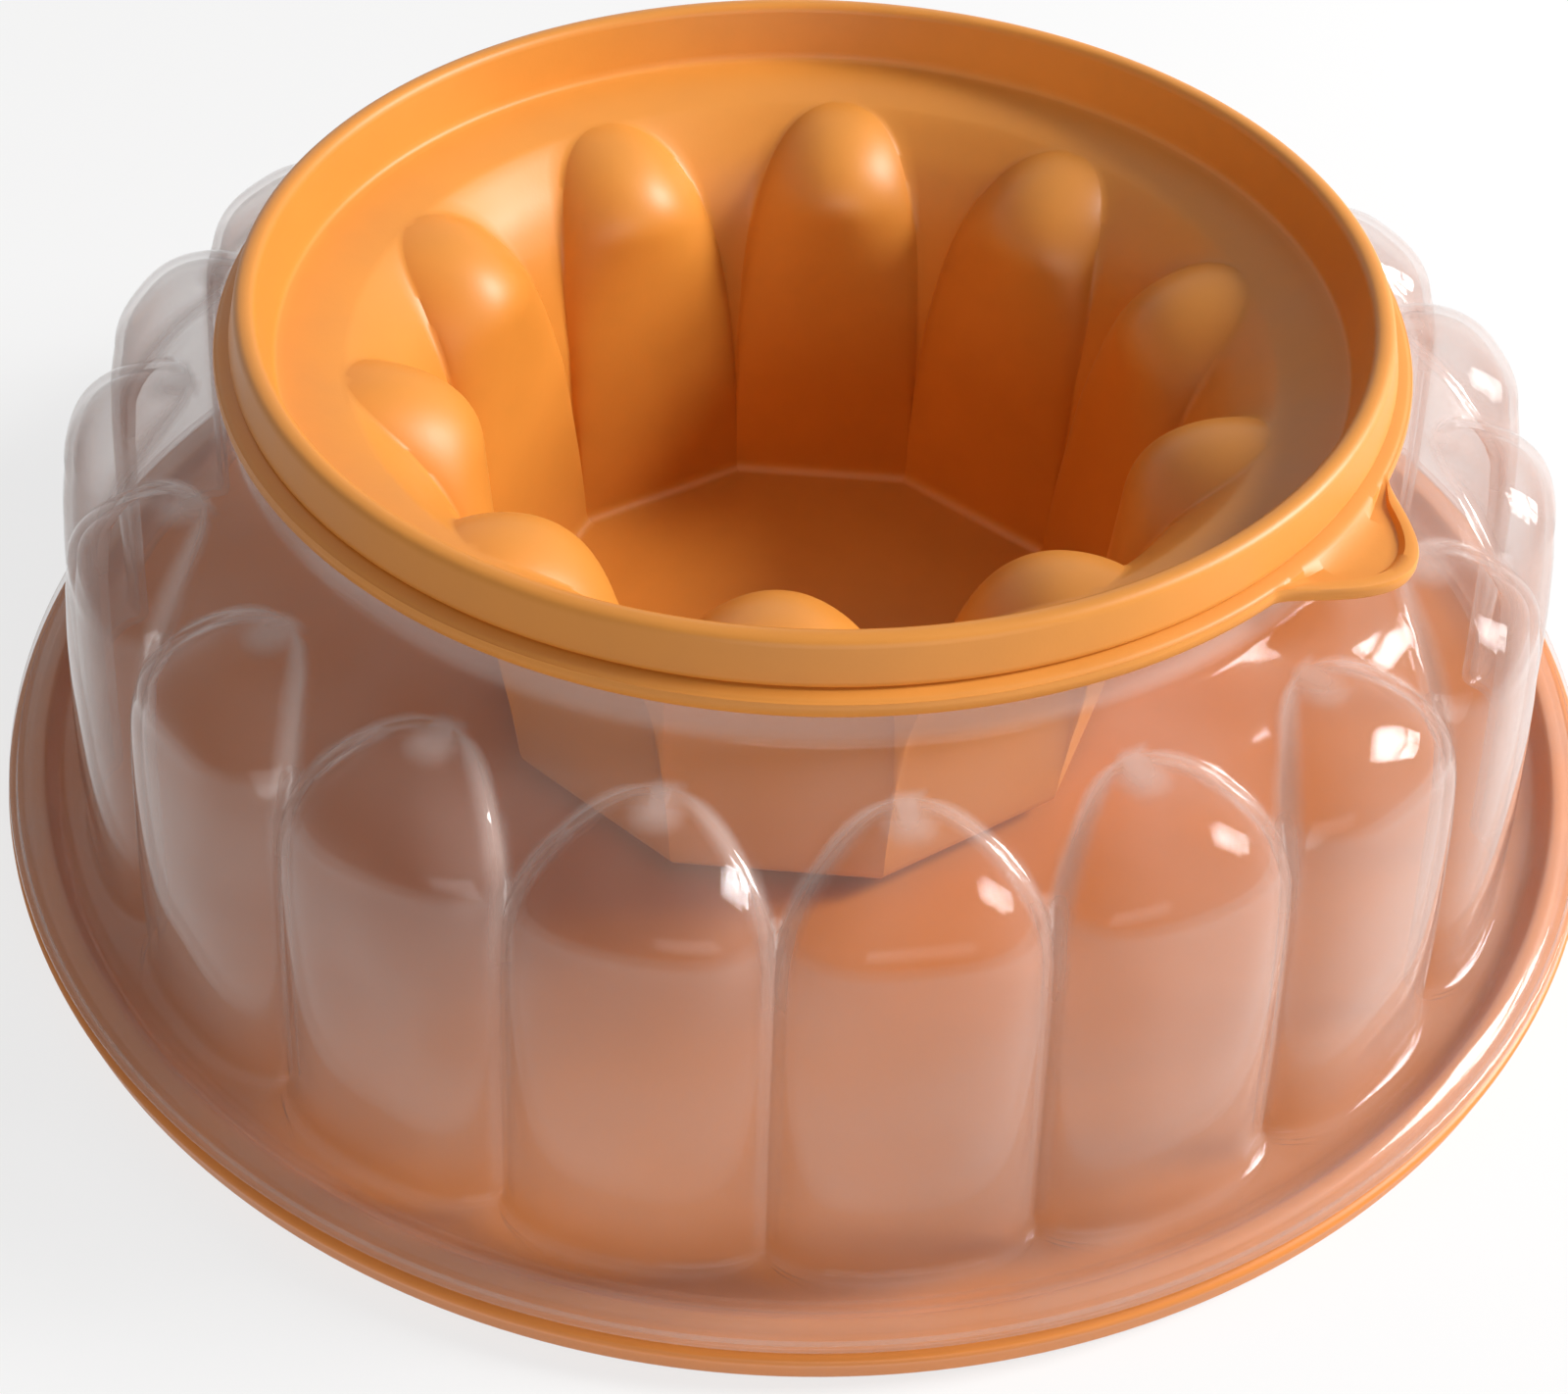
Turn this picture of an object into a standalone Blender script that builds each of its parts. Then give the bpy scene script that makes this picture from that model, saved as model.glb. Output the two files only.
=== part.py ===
"""A ring mould for moulded jelly, in three press-fit pieces: a clear lobed ring body open at both ends, an orange
centre insert that is also the top seal, and an orange base seal. Metres, +Z up, standing on its base seal."""

import bpy
import bmesh
import numpy as np
from mathutils import Matrix, Vector

MM = 0.001

# Clear ring body
FLANGE_R = 120.0  # outer edge of the flange
LOBES = 20  # outward lobes round the wall
FOOT_Z = 5.4  # top of the flange plate, where the wall starts
CROTCH_Z = 48.0  # where two lobes part below the shoulder
CAP_Z = 52.8  # where a lobe's wall turns over into its rounded cap
LOBE_TOP_Z = 61.7
LOBE_TOP_R = 86.4
BODY_WALL = 1.6
NECK_R = 77.6
NECK_TOP_Z = 70.9
CORE_Z = (FOOT_Z, 26.0, CROTCH_Z, 54.0, 58.6, 61.0, 62.6, 64.2)  # smooth shell between the lobes
CORE_R = (105.1, 102.2, 98.4, 94.9, 90.2, 86.2, 82.2, 79.0)
LOBE_Z = (FOOT_Z, 18.0, 30.0, 46.0, CAP_Z)  # middle line of a lobe's wall
LOBE_R = (109.8, 108.6, 106.9, 104.2, 102.5)

# Orange centre insert
FLUTES = 10  # rounded columns round the well
FLUTE_TURN = np.radians(-20.0)  # direction of one flute's middle
FLOOR_Z = 5.4  # inside of the well's floor
FLOOR_FLAT = 45.2  # middle of a floor edge to the axis
FLAT_Z = 9.0  # the well is flat-sided up to here
ROUND_Z = 35.0  # and fully fluted from here
DOME_Z = 54.0  # where a flute starts to round over
HEAD_Z = 66.0
HEAD_R = 63.4
INSERT_WALL = 1.5
BELL_Z = (FLOOR_Z, 36.0, 42.0, 48.0, 53.0, 57.0, 60.0, 63.0, 65.6, HEAD_Z, 67.2, 68.5)
BELL_R = (48.8, 50.0, 51.0, 52.3, 53.8, 55.6, 57.4, 60.0, 62.8, 63.5, 66.9, 71.9)
SKIRT_R = 79.6
TAB_TURN = np.radians(-36.0)
TAB_REACH = 88.4  # tip of the finger tab to the axis
TAB_SPREAD = np.radians(10.5)  # from the tab's middle to where it meets the ring

# Orange base seal
PLATE_TOP_Z = 2.0
BASE_R = 120.5

LEVELS_BODY = (7.0, 26.0, 42.0, CROTCH_Z, CAP_Z, 56.2, 58.8, 60.6, 61.7)
LEVELS_WELL = (20.0, 36.0, 46.0, DOME_Z, 57.0, 60.0, 62.6, 64.6, HEAD_Z)


def clear_scene():
    for obj in list(bpy.data.objects):
        bpy.data.objects.remove(obj, do_unlink=True)


def new_collection(name):
    collection = bpy.data.collections.new(name)
    bpy.context.scene.collection.children.link(collection)
    return collection


def material(name, color, roughness, alpha=1.0):
    mat = bpy.data.materials.new(name)
    mat.use_nodes = True
    shader = mat.node_tree.nodes["Principled BSDF"]
    shader.inputs["Base Color"].default_value = (*color, 1.0)
    shader.inputs["Roughness"].default_value = roughness
    shader.inputs["Metallic"].default_value = 0.0
    shader.inputs["Alpha"].default_value = alpha
    mat.diffuse_color = (*color, alpha)
    mat.roughness = roughness
    return mat


def add_object(name, bm, mat, collection):
    """The mesh as one object, smooth except where it turns sharply."""
    bmesh.ops.recalc_face_normals(bm, faces=bm.faces[:])
    mesh = bpy.data.meshes.new(name)
    bm.to_mesh(mesh)
    bm.free()
    mesh.materials.append(mat)
    obj = bpy.data.objects.new(name, mesh)
    collection.objects.link(obj)
    mesh.shade_smooth()
    mesh.set_sharp_from_angle(angle=np.radians(38.0))
    return obj


def add_cutter(name, bm, collection):
    """A helper solid, shown as wire only."""
    bmesh.ops.recalc_face_normals(bm, faces=bm.faces[:])
    mesh = bpy.data.meshes.new(name)
    bm.to_mesh(mesh)
    bm.free()
    obj = bpy.data.objects.new(name, mesh)
    collection.objects.link(obj)
    obj.hide_render = True
    obj.display_type = "WIRE"
    return obj


def boolean(obj, operation, cutter):
    modifier = obj.modifiers.new(cutter.name, "BOOLEAN")
    modifier.operation = operation
    modifier.solver = "EXACT"
    modifier.object = cutter


def loft(angles, ring_at, closed):
    """A closed skin through one ring of (radius, height) points for each angle.

    With closed set, the ring ends where it starts. Otherwise its first and last points lie on the axis.
    """
    rings = [ring_at(angle) for angle in angles]
    bm = bmesh.new()
    grid = []
    for angle, ring in zip(angles, rings):
        inner = ring if closed else ring[1:-1]
        grid.append([
            bm.verts.new((r * np.cos(angle) * MM, r * np.sin(angle) * MM, z * MM))
            for r, z in inner
        ])
    rows = len(grid[0])
    for column, after in zip(grid, grid[1:] + grid[:1]):
        for k in range(rows if closed else rows - 1):
            top = (k + 1) % rows
            bm.faces.new((column[k], after[k], after[top], column[top]))
    if not closed:
        for k, (r, z) in ((0, rings[0][0]), (-1, rings[0][-1])):
            pole = bm.verts.new((0.0, 0.0, z * MM))
            for column, after in zip(grid, grid[1:] + grid[:1]):
                bm.faces.new((column[k], after[k], pole))
    return bm


def lobe_top(z):
    """Radius of a lobe's middle line at height z."""
    if z <= CAP_Z:
        return float(np.interp(z, LOBE_Z, LOBE_R))
    over = min(1.0, (z - CAP_Z) / (LOBE_TOP_Z - CAP_Z))
    return LOBE_TOP_R + (LOBE_R[-1] - LOBE_TOP_R) * np.sqrt(1.0 - over**2)


def body_radius(angle, z):
    """Outside of the clear wall: the smooth shell, and on it the lobes, whose arched ends close over the shoulder."""
    shell = float(np.interp(z, CORE_Z, CORE_R))
    swell = max(0.0, lobe_top(z) - shell)
    spread = 1.0
    if z > CROTCH_Z:
        spread = np.sqrt(max(0.0, 1.0 - ((z - CROTCH_Z) / (LOBE_TOP_Z - CROTCH_Z)) ** 2))
    across = abs((angle * LOBES / (2.0 * np.pi)) % 1.0 - 0.5) * 2.0
    if across >= spread or z > LOBE_TOP_Z:
        return shell
    return shell + swell * (1.0 - (across / spread) ** 3) ** 0.62


def body_ring(angle):
    """The clear body cut in half at one angle: flange, wall, shoulder and neck outside, then back down inside."""
    outside = [
        (FLANGE_R - 0.6, 5.9),
        (FLANGE_R, 6.4),
        (FLANGE_R - 0.5, 7.2),
        (118.2, 7.3),
        (114.6, 7.7),
        (112.6, FOOT_Z),
        (body_radius(angle, LEVELS_BODY[0]) + 0.9, FOOT_Z),
    ]
    outside += [(body_radius(angle, z), z) for z in LEVELS_BODY]
    outside += [(82.2, 62.6), (79.4, 64.0), (79.0, 64.9), (NECK_R, 68.6), (NECK_R, NECK_TOP_Z)]
    down = BODY_WALL * 0.8
    inside = [(NECK_R - BODY_WALL, NECK_TOP_Z), (NECK_R - BODY_WALL, 66.0), (77.6, 63.4)]
    levels = (61.7, 60.2, 58.0, CAP_Z, CROTCH_Z, 42.0, 26.0)
    inside += [(body_radius(angle, z) - BODY_WALL, z - down) for z in levels]
    inside += [(body_radius(angle, 7.0) - BODY_WALL, FOOT_Z - down)]
    inside += [(113.4, FOOT_Z - down), (114.9, 6.4), (118.0, 6.1)]
    return outside + inside


def flute_front(z):
    """Radius of a flute's ridge at height z: nearly upright from the floor, then rounding over to the head."""
    if z <= DOME_Z:
        return FLOOR_FLAT + (z - FLOOR_Z) / (DOME_Z - FLOOR_Z)
    over = np.sqrt(max(0.0, 1.0 - ((z - DOME_Z) / (HEAD_Z - DOME_Z)) ** 2))
    return HEAD_R * (1.0 - over) + (FLOOR_FLAT + 1.0) * over


def well_radius(angle, z):
    """Inside of the well: a bell mouth with the flutes standing in from it, flat-sided near the floor."""
    bell = float(np.interp(z, BELL_Z, BELL_R))
    half = np.pi / FLUTES
    turn = (angle - FLUTE_TURN + half) % (2.0 * half) - half
    spread = max(0.0, 1.0 - ((z - FLOOR_Z) / (HEAD_Z - FLOOR_Z)) ** 3) ** 0.42
    across = abs(turn) / half
    if across >= spread:
        return bell
    front = flute_front(z)
    blend = min(1.0, max(0.0, (z - FLAT_Z) / (ROUND_Z - FLAT_Z)))
    blend = blend * blend * (3.0 - 2.0 * blend)
    fluted = bell - (bell - front) * (1.0 - (across / spread) ** 2.1) ** 0.6
    return min(bell, front / np.cos(turn) * (1.0 - blend) + fluted * blend)


def insert_ring(angle):
    """The insert cut in half at one angle: from the floor's middle up the well, over the rim, and back below."""
    flat = well_radius(angle, FLOOR_Z)
    ring = [(0.0, FLOOR_Z), (flat - 1.6, FLOOR_Z), (flat, FLOOR_Z + 1.8)]
    ring += [(well_radius(angle, z), z) for z in LEVELS_WELL]
    ring += [(66.9, 67.2), (71.9, 68.5), (73.2, 76.2), (74.3, 77.3), (75.6, 77.2), (76.2, 76.2)]
    ring += [(77.4, 72.2), (76.9, 71.7), (78.7, 71.4), (SKIRT_R, 70.7), (SKIRT_R, 69.5)]
    ring += [(SKIRT_R - 1.6, 69.5), (SKIRT_R - 1.6, 71.2), (75.2, 71.2), (74.2, 67.4), (67.9, 65.7)]
    down = INSERT_WALL * 0.8
    for z in (HEAD_Z - 0.3, 63.8, 61.0, 57.0, DOME_Z, 46.0, 36.0, 20.0):
        ring.append((well_radius(angle, z) + INSERT_WALL, z - down))
    ring += [(flat + INSERT_WALL - 0.2, FLOOR_Z - 0.2), (flat, FLOOR_Z - 1.5), (0.0, FLOOR_Z - 1.5)]
    return ring


def tab_edge(turn):
    """Outer radius of the lower ring near the finger tab, at an angle from the tab's middle."""
    return SKIRT_R - 0.3 + (TAB_REACH - SKIRT_R + 0.3) * (0.5 + 0.5 * np.cos(np.pi * turn / TAB_SPREAD))


def tab_outline(spread, inner, trim, steps):
    """The finger tab from above, along +X: a wave that rises from the ring, closed by an arc inside the ring."""
    turns = np.linspace(-spread, spread, steps + 1)
    outer = [(tab_edge(t) - trim, t) for t in turns]
    back = [(inner, t) for t in turns[::-2]]
    return [(r * np.cos(t), r * np.sin(t)) for r, t in outer + back]


def prism(outline, low, high):
    """A straight solid on the outline, turned to the tab's direction."""
    bm = bmesh.new()
    below = [bm.verts.new((x * MM, y * MM, low * MM)) for x, y in outline]
    base = bm.faces.new(below)
    pushed = bmesh.ops.extrude_face_region(bm, geom=[base])
    lifted = [v for v in pushed["geom"] if isinstance(v, bmesh.types.BMVert)]
    bmesh.ops.translate(bm, verts=lifted, vec=Vector((0.0, 0.0, (high - low) * MM)))
    bmesh.ops.rotate(bm, verts=bm.verts[:], cent=(0, 0, 0), matrix=Matrix.Rotation(TAB_TURN, 3, "Z"))
    return bm


def turned(name, profile, steps, mat, collection):
    """A solid of revolution from a profile that starts and ends on the axis."""
    mesh = bpy.data.meshes.new(name)
    points = [(r * MM, 0.0, z * MM) for r, z in profile]
    mesh.from_pydata(points, [(k, k + 1) for k in range(len(points) - 1)], [])
    mesh.materials.append(mat)
    obj = bpy.data.objects.new(name, mesh)
    collection.objects.link(obj)
    screw = obj.modifiers.new("turn", "SCREW")
    screw.axis = "Z"
    screw.steps = steps
    screw.render_steps = steps
    screw.use_merge_vertices = True
    screw.merge_threshold = 0.00001
    screw.use_normal_calculate = True
    screw.use_smooth_shade = True
    return obj


def main():
    clear_scene()
    parts = new_collection("jelly_ring_mould")
    cutters = new_collection("cutters")
    clear = material("clear_polypropylene", (0.86, 0.80, 0.77), 0.16, 0.34)
    orange = material("orange_polyethylene", (0.83, 0.35, 0.07), 0.42)
    seal = material("orange_seal_polyethylene", (0.80, 0.31, 0.05), 0.45)

    # Clear ring body
    stations = np.array((-1.0, -0.72, -0.27, 0.27, 0.72))
    lobe_angle = 2.0 * np.pi / LOBES
    angles = [(k + 0.5 + s / 2.0) * lobe_angle for k in range(LOBES) for s in stations]
    add_object("mould_body", loft(angles, body_ring, True), clear, parts)

    # Orange centre insert with its finger tab
    stations = np.array((-1.0, -0.8, -0.52, -0.24, 0.0, 0.24, 0.52, 0.8))
    flute_angle = 2.0 * np.pi / FLUTES
    angles = [FLUTE_TURN + (k + s / 2.0) * flute_angle for k in range(FLUTES) for s in stations]
    insert = add_object("centre_insert", loft(angles, insert_ring, False), orange, parts)
    outer = prism(tab_outline(TAB_SPREAD, SKIRT_R - 0.9, 0.0, 16), 69.1, 71.2)
    boolean(insert, "UNION", add_cutter("tab_solid", outer, cutters))
    face = prism(tab_outline(TAB_SPREAD * 0.6, SKIRT_R + 0.8, 1.5, 10), 70.3, 72.0)
    boolean(insert, "DIFFERENCE", add_cutter("tab_recess", face, cutters))

    # Orange base seal
    profile = [
        (0.0, PLATE_TOP_Z),
        (113.9, PLATE_TOP_Z),
        (115.3, 6.0),
        (117.5, 5.7),
        (117.9, 5.2),
        (BASE_R - 0.4, 5.2),
        (BASE_R, 4.8),
        (BASE_R, 3.6),
        (BASE_R - 0.5, 3.2),
        (BASE_R - 0.5, 0.6),
        (BASE_R - 1.1, 0.0),
        (0.0, 0.0),
    ]
    turned("base_seal", profile, 72, seal, parts)


main()
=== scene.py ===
"""The looks of a three-piece ring mould for moulded jelly, laid out as a Blender add-on.

The pieces are a clear ring body with lobes round its wall, an orange centre insert with flutes round its
well, the press ring that holds the insert on the body's neck, with a finger tab, and the orange base seal.
Lengths in the properties are metres. The profiles inside the functions are millimetres, as (radius, height)
from the mould's axis.
"""

import math

import bpy
import numpy as np
from mathutils import Matrix, Vector


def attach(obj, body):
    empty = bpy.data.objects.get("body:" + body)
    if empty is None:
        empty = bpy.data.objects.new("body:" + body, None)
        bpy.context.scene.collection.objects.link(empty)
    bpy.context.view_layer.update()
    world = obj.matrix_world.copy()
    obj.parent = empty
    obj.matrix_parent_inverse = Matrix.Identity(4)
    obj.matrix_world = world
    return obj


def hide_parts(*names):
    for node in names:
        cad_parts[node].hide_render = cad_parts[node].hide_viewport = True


bl_info = {
    "name": "Jelly ring mould",
    "version": (1, 0, 0),
    "blender": (4, 5, 0),
    "location": "3D View > Sidebar > Jelly mould",
    "description": "Builds a three-piece jelly ring mould in clear and orange plastic, with its stage",
    "category": "Object",
}

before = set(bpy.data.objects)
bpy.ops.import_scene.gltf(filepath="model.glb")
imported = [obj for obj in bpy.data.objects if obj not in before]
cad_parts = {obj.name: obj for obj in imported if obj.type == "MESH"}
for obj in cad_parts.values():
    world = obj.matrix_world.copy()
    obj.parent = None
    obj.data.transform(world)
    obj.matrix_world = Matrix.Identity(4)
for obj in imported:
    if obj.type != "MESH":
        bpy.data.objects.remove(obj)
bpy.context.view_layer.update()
MM = 0.001

LOBE_COLUMNS = 36  # columns of faces across one lobe
FLUTE_COLUMNS = 44  # and across one flute
ARCH_HIGHLIGHT_SHARE = 0.04  # width of the painted highlight line round a lobe's arch, as a share of the arch
ARCH_HIGHLIGHT_TOP = 0.2  # and its depth at the top of the arch

# Middle lines and shells, from the foot up
CORE_Z = (5.4, 26.0, 48.0, 54.0, 58.6, 61.0, 62.6, 64.2)  # smooth shell between the lobes
CORE_R = (105.1, 102.2, 98.4, 94.9, 90.2, 86.2, 82.2, 79.0)
LOBE_Z = (5.4, 18.0, 30.0, 46.0, 52.8)  # middle line of a lobe's wall
LOBE_R = (109.8, 108.6, 106.9, 104.2, 102.5)
BELL_Z = (5.4, 36.0, 42.0, 48.0, 53.0, 57.0, 60.0, 63.0, 65.6, 66.0, 67.2, 68.5)  # well behind the flutes
BELL_R = (48.8, 50.0, 51.0, 52.3, 53.8, 55.6, 57.4, 60.0, 62.8, 63.5, 66.9, 71.9)
FLAT_Z, ROUND_Z = 9.0, 35.0  # the well is flat-sided up to the first height and fully fluted from the second


def linear(hex_colour):
    """An sRGB hex colour as linear red, green and blue."""
    parts = [int(hex_colour[k:k + 2], 16) / 255.0 for k in (0, 2, 4)]
    return tuple(c / 12.92 if c <= 0.04045 else ((c + 0.055) / 1.055) ** 2.4 for c in parts)


def length(name, description, millimetres):
    """A length property with its default in millimetres."""
    return bpy.props.FloatProperty(
        name=name,
        description=description,
        default=millimetres * MM,
        unit="LENGTH",
        subtype="DISTANCE",
        precision=4,
    )


def angle(name, description, degrees):
    """An angle property with its default in degrees."""
    return bpy.props.FloatProperty(
        name=name, description=description, default=math.radians(degrees), unit="ROTATION", subtype="ANGLE"
    )


def colour(name, description, hex_colour):
    """A colour property with its default in sRGB hex."""
    return bpy.props.FloatVectorProperty(
        name=name,
        description=description,
        default=linear(hex_colour),
        subtype="COLOR",
        size=3,
        min=0.0,
        max=1.0,
    )


def power(name, description, watts):
    """A lamp's power."""
    return bpy.props.FloatProperty(name=name, description=description, default=watts, min=0.0, unit="POWER")


class ClearBodyProperties(bpy.types.PropertyGroup):
    """Sizes and colours of the clear ring body."""

    flange_radius: length("Flange radius", "Outer edge of the flange", 120.0)
    lobes: bpy.props.IntProperty(name="Lobes", description="Lobes round the wall", default=20, min=3)
    foot_height: length("Foot height", "Top of the flange plate, where the wall starts", 5.4)
    crotch_height: length("Crotch height", "Where two lobes part below the shoulder", 48.0)
    cap_height: length("Cap height", "Where a lobe's wall turns over into its cap", 52.8)
    lobe_top_height: length("Lobe top height", "Where a lobe's cap dies into the shoulder", 61.7)
    lobe_top_radius: length("Lobe top radius", "Top of a cap's arch to the axis", 86.4)
    neck_radius: length("Neck radius", "Outside of the neck", 77.6)
    neck_height: length("Neck height", "Top of the neck", 70.9)
    wall: length("Wall", "Wall thickness", 1.2)
    crease: length("Crease round", "Softening where a lobe leaves the shell", 0.4)
    haze: colour("Haze", "Milky colour of the plastic", "E4C6BA")


class InsertProperties(bpy.types.PropertyGroup):
    """Sizes and colours of the centre insert and its press ring."""

    flutes: bpy.props.IntProperty(name="Flutes", description="Columns round the well", default=10, min=3)
    flute_turn: angle("Flute turn", "Direction of one flute's middle", -20.0)
    floor_height: length("Floor height", "Inside of the well's floor", 5.4)
    floor_flat: length("Floor flat", "Middle of a floor edge to the axis", 45.2)
    dome_height: length("Dome height", "Where a flute starts to round over", 54.0)
    head_height: length("Head height", "Top of a flute", 66.0)
    head_radius: length("Head radius", "Top of a flute to the axis", 63.4)
    wall: length("Wall", "Wall thickness", 1.5)
    crease: length("Crease round", "Softening between the flutes and the well", 0.8)
    skirt_radius: length("Skirt radius", "Outside of the press ring", 79.6)
    tab_turn: angle("Tab turn", "Direction of the finger tab", -36.0)
    tab_reach: length("Tab reach", "Tip of the finger tab to the axis", 88.4)
    tab_spread: angle("Tab spread", "From the tab's middle to where it meets the ring", 10.5)
    orange: colour("Orange", "Colour of the insert's plastic", "E6943A")


class BaseSealProperties(bpy.types.PropertyGroup):
    """Sizes and colour of the base seal."""

    radius: length("Radius", "Outer edge of the lip", 120.5)
    plate_height: length("Plate height", "Top of the plate", 2.0)
    steps: bpy.props.IntProperty(name="Steps", description="Steps of the turned profile", default=288, min=32)
    orange: colour("Orange", "Colour of the seal's plastic", "E68A38")


class StageProperties(bpy.types.PropertyGroup):
    """Floor, lamps and camera."""

    floor: colour("Floor", "Colour of the floor", "F7F6F5")
    window_power: power("Window power", "Each upper pane of the window at the right", 5.0)
    sill_power: power("Sill power", "Each lower pane of the window", 3.4)
    sky_power: power("Sky power", "Broad soft lamp above", 1.0)
    fill_power: power("Fill power", "Broad soft lamp at the front", 9.0)
    ambient: bpy.props.FloatProperty(name="Ambient", description="Light all round", default=0.13, min=0.0)
    camera_distance: length("Camera distance", "From the axis, along the floor", 231.5)
    camera_height: length("Camera height", "Above the floor", 221.2)
    camera_turn: angle("Camera turn", "Round the mould's axis, from the front", 0.859)
    camera_pan: angle("Camera pan", "To the right of the axis", -0.608)
    camera_tilt: angle("Camera tilt", "Below the horizon", 44.39)
    camera_roll: angle("Camera roll", "About the line of sight", 1.721)
    focal_length: bpy.props.FloatProperty(
        name="Focal length", description="Lens, in millimetres on a 36 mm sensor", default=45.853, min=1.0
    )


# Shapes


def smooth_through(xs, ys, x):
    """A curve through the points that never overshoots them: cubic pieces with limited slopes."""
    xs, ys = np.asarray(xs, float), np.asarray(ys, float)
    step, rise = np.diff(xs), np.diff(ys)
    slope = rise / step
    tangent = np.empty(len(xs))
    tangent[0], tangent[-1] = slope[0], slope[-1]
    for k in range(1, len(xs) - 1):
        a, b = slope[k - 1], slope[k]
        tangent[k] = 0.0 if a * b <= 0.0 else 2.0 * a * b / (a + b)
    k = int(np.clip(np.searchsorted(xs, x) - 1, 0, len(step) - 1))
    t = float(np.clip((x - xs[k]) / step[k], 0.0, 1.0))
    rest = 1.0 - t
    ends = ys[k] * (1.0 + 2.0 * t) * rest**2 + ys[k + 1] * t**2 * (3.0 - 2.0 * t)
    return ends + step[k] * (tangent[k] * t * rest**2 - tangent[k + 1] * t**2 * rest)


def soft_max(a, b, width):
    """The larger of two values, eased over where they are closer than width."""
    near = max(width - abs(a - b), 0.0) / width
    return max(a, b) + near * near * width / 4.0


def soft_min(a, b, width):
    """The smaller of two values, eased in the same way."""
    return -soft_max(-a, -b, width)


def ease(x):
    """0 to 1 with flat ends."""
    x = min(1.0, max(0.0, x))
    return x * x * (3.0 - 2.0 * x)


def quarter(count):
    """Angles of a quarter turn, both ends included."""
    return np.linspace(0.0, np.pi / 2.0, count)


def ring_mesh(name, angles, column_at):
    """A closed ring of quads, with a closed column of (radius, height) points for each angle."""
    columns = [column_at(turn) for turn in angles]
    rows = len(columns[0])
    points = [
        (r * math.cos(turn) * MM, r * math.sin(turn) * MM, z * MM)
        for turn, column in zip(angles, columns)
        for r, z in column
    ]
    faces = []
    for k in range(len(columns)):
        here, there = k * rows, (k + 1) % len(columns) * rows
        for row in range(rows):
            up = (row + 1) % rows
            faces.append((here + up, there + up, there + row, here + row))
    mesh = bpy.data.meshes.new(name)
    mesh.from_pydata(points, [], faces)
    mesh.update()
    return mesh


def across_arch(place, spread):
    """Where a column of an arched relief stands: most follow the arch, the outer fifth stays outside it."""
    spread = min(0.975, max(spread, 0.05))
    edge = 0.8
    if abs(place) <= edge:
        return math.sin(place / edge * math.pi / 2.0) * spread
    return math.copysign(spread + (abs(place) - edge) / (1.0 - edge) * (1.0 - spread), place)


def sector_mesh(name, count, columns, column_at):
    """One of count equal sectors, its middle on +X. A column holds (radius, height, place across) points."""
    half = math.pi / count
    grid = [column_at(place) for place in np.linspace(-1.0, 1.0, columns + 1)]
    rows = len(grid[0])
    points = [
        (r * math.cos(across * half) * MM, r * math.sin(across * half) * MM, z * MM)
        for column in grid
        for r, z, across in column
    ]
    faces = [
        (k * rows + row, (k + 1) * rows + row, (k + 1) * rows + row + 1, k * rows + row + 1)
        for k in range(columns)
        for row in range(rows - 1)
    ]
    mesh = bpy.data.meshes.new(name)
    mesh.from_pydata(points, [], faces)
    mesh.update()
    return mesh


def add_piece(name, mesh):
    """The mesh as an object of the scene, at the origin."""
    obj = bpy.data.objects.new(name, mesh)
    bpy.context.scene.collection.objects.link(obj)
    return obj


def applied(obj, crease_degrees):
    """The object's modifiers made part of a plain mesh, smooth except where it turns sharply."""
    graph = bpy.context.evaluated_depsgraph_get()
    mesh = bpy.data.meshes.new_from_object(obj.evaluated_get(graph))
    if not mesh.polygons:
        raise RuntimeError(f"{obj.name} came out empty")
    obj.modifiers.clear()
    old = obj.data
    obj.data = mesh
    bpy.data.meshes.remove(old)
    mesh.name = obj.name
    mesh.shade_smooth()
    mesh.set_sharp_from_angle(angle=math.radians(crease_degrees))
    return obj


def add_node(tree, kind, inputs=None, **settings):
    """A node of the tree. An input takes a value or another node's output, by name or number."""
    node = tree.nodes.new(kind)
    for name, value in settings.items():
        setattr(node, name, value)
    for key, value in (inputs or {}).items():
        if isinstance(value, bpy.types.NodeSocket):
            tree.links.new(value, node.inputs[key])
        else:
            node.inputs[key].default_value = value
    return node


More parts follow.
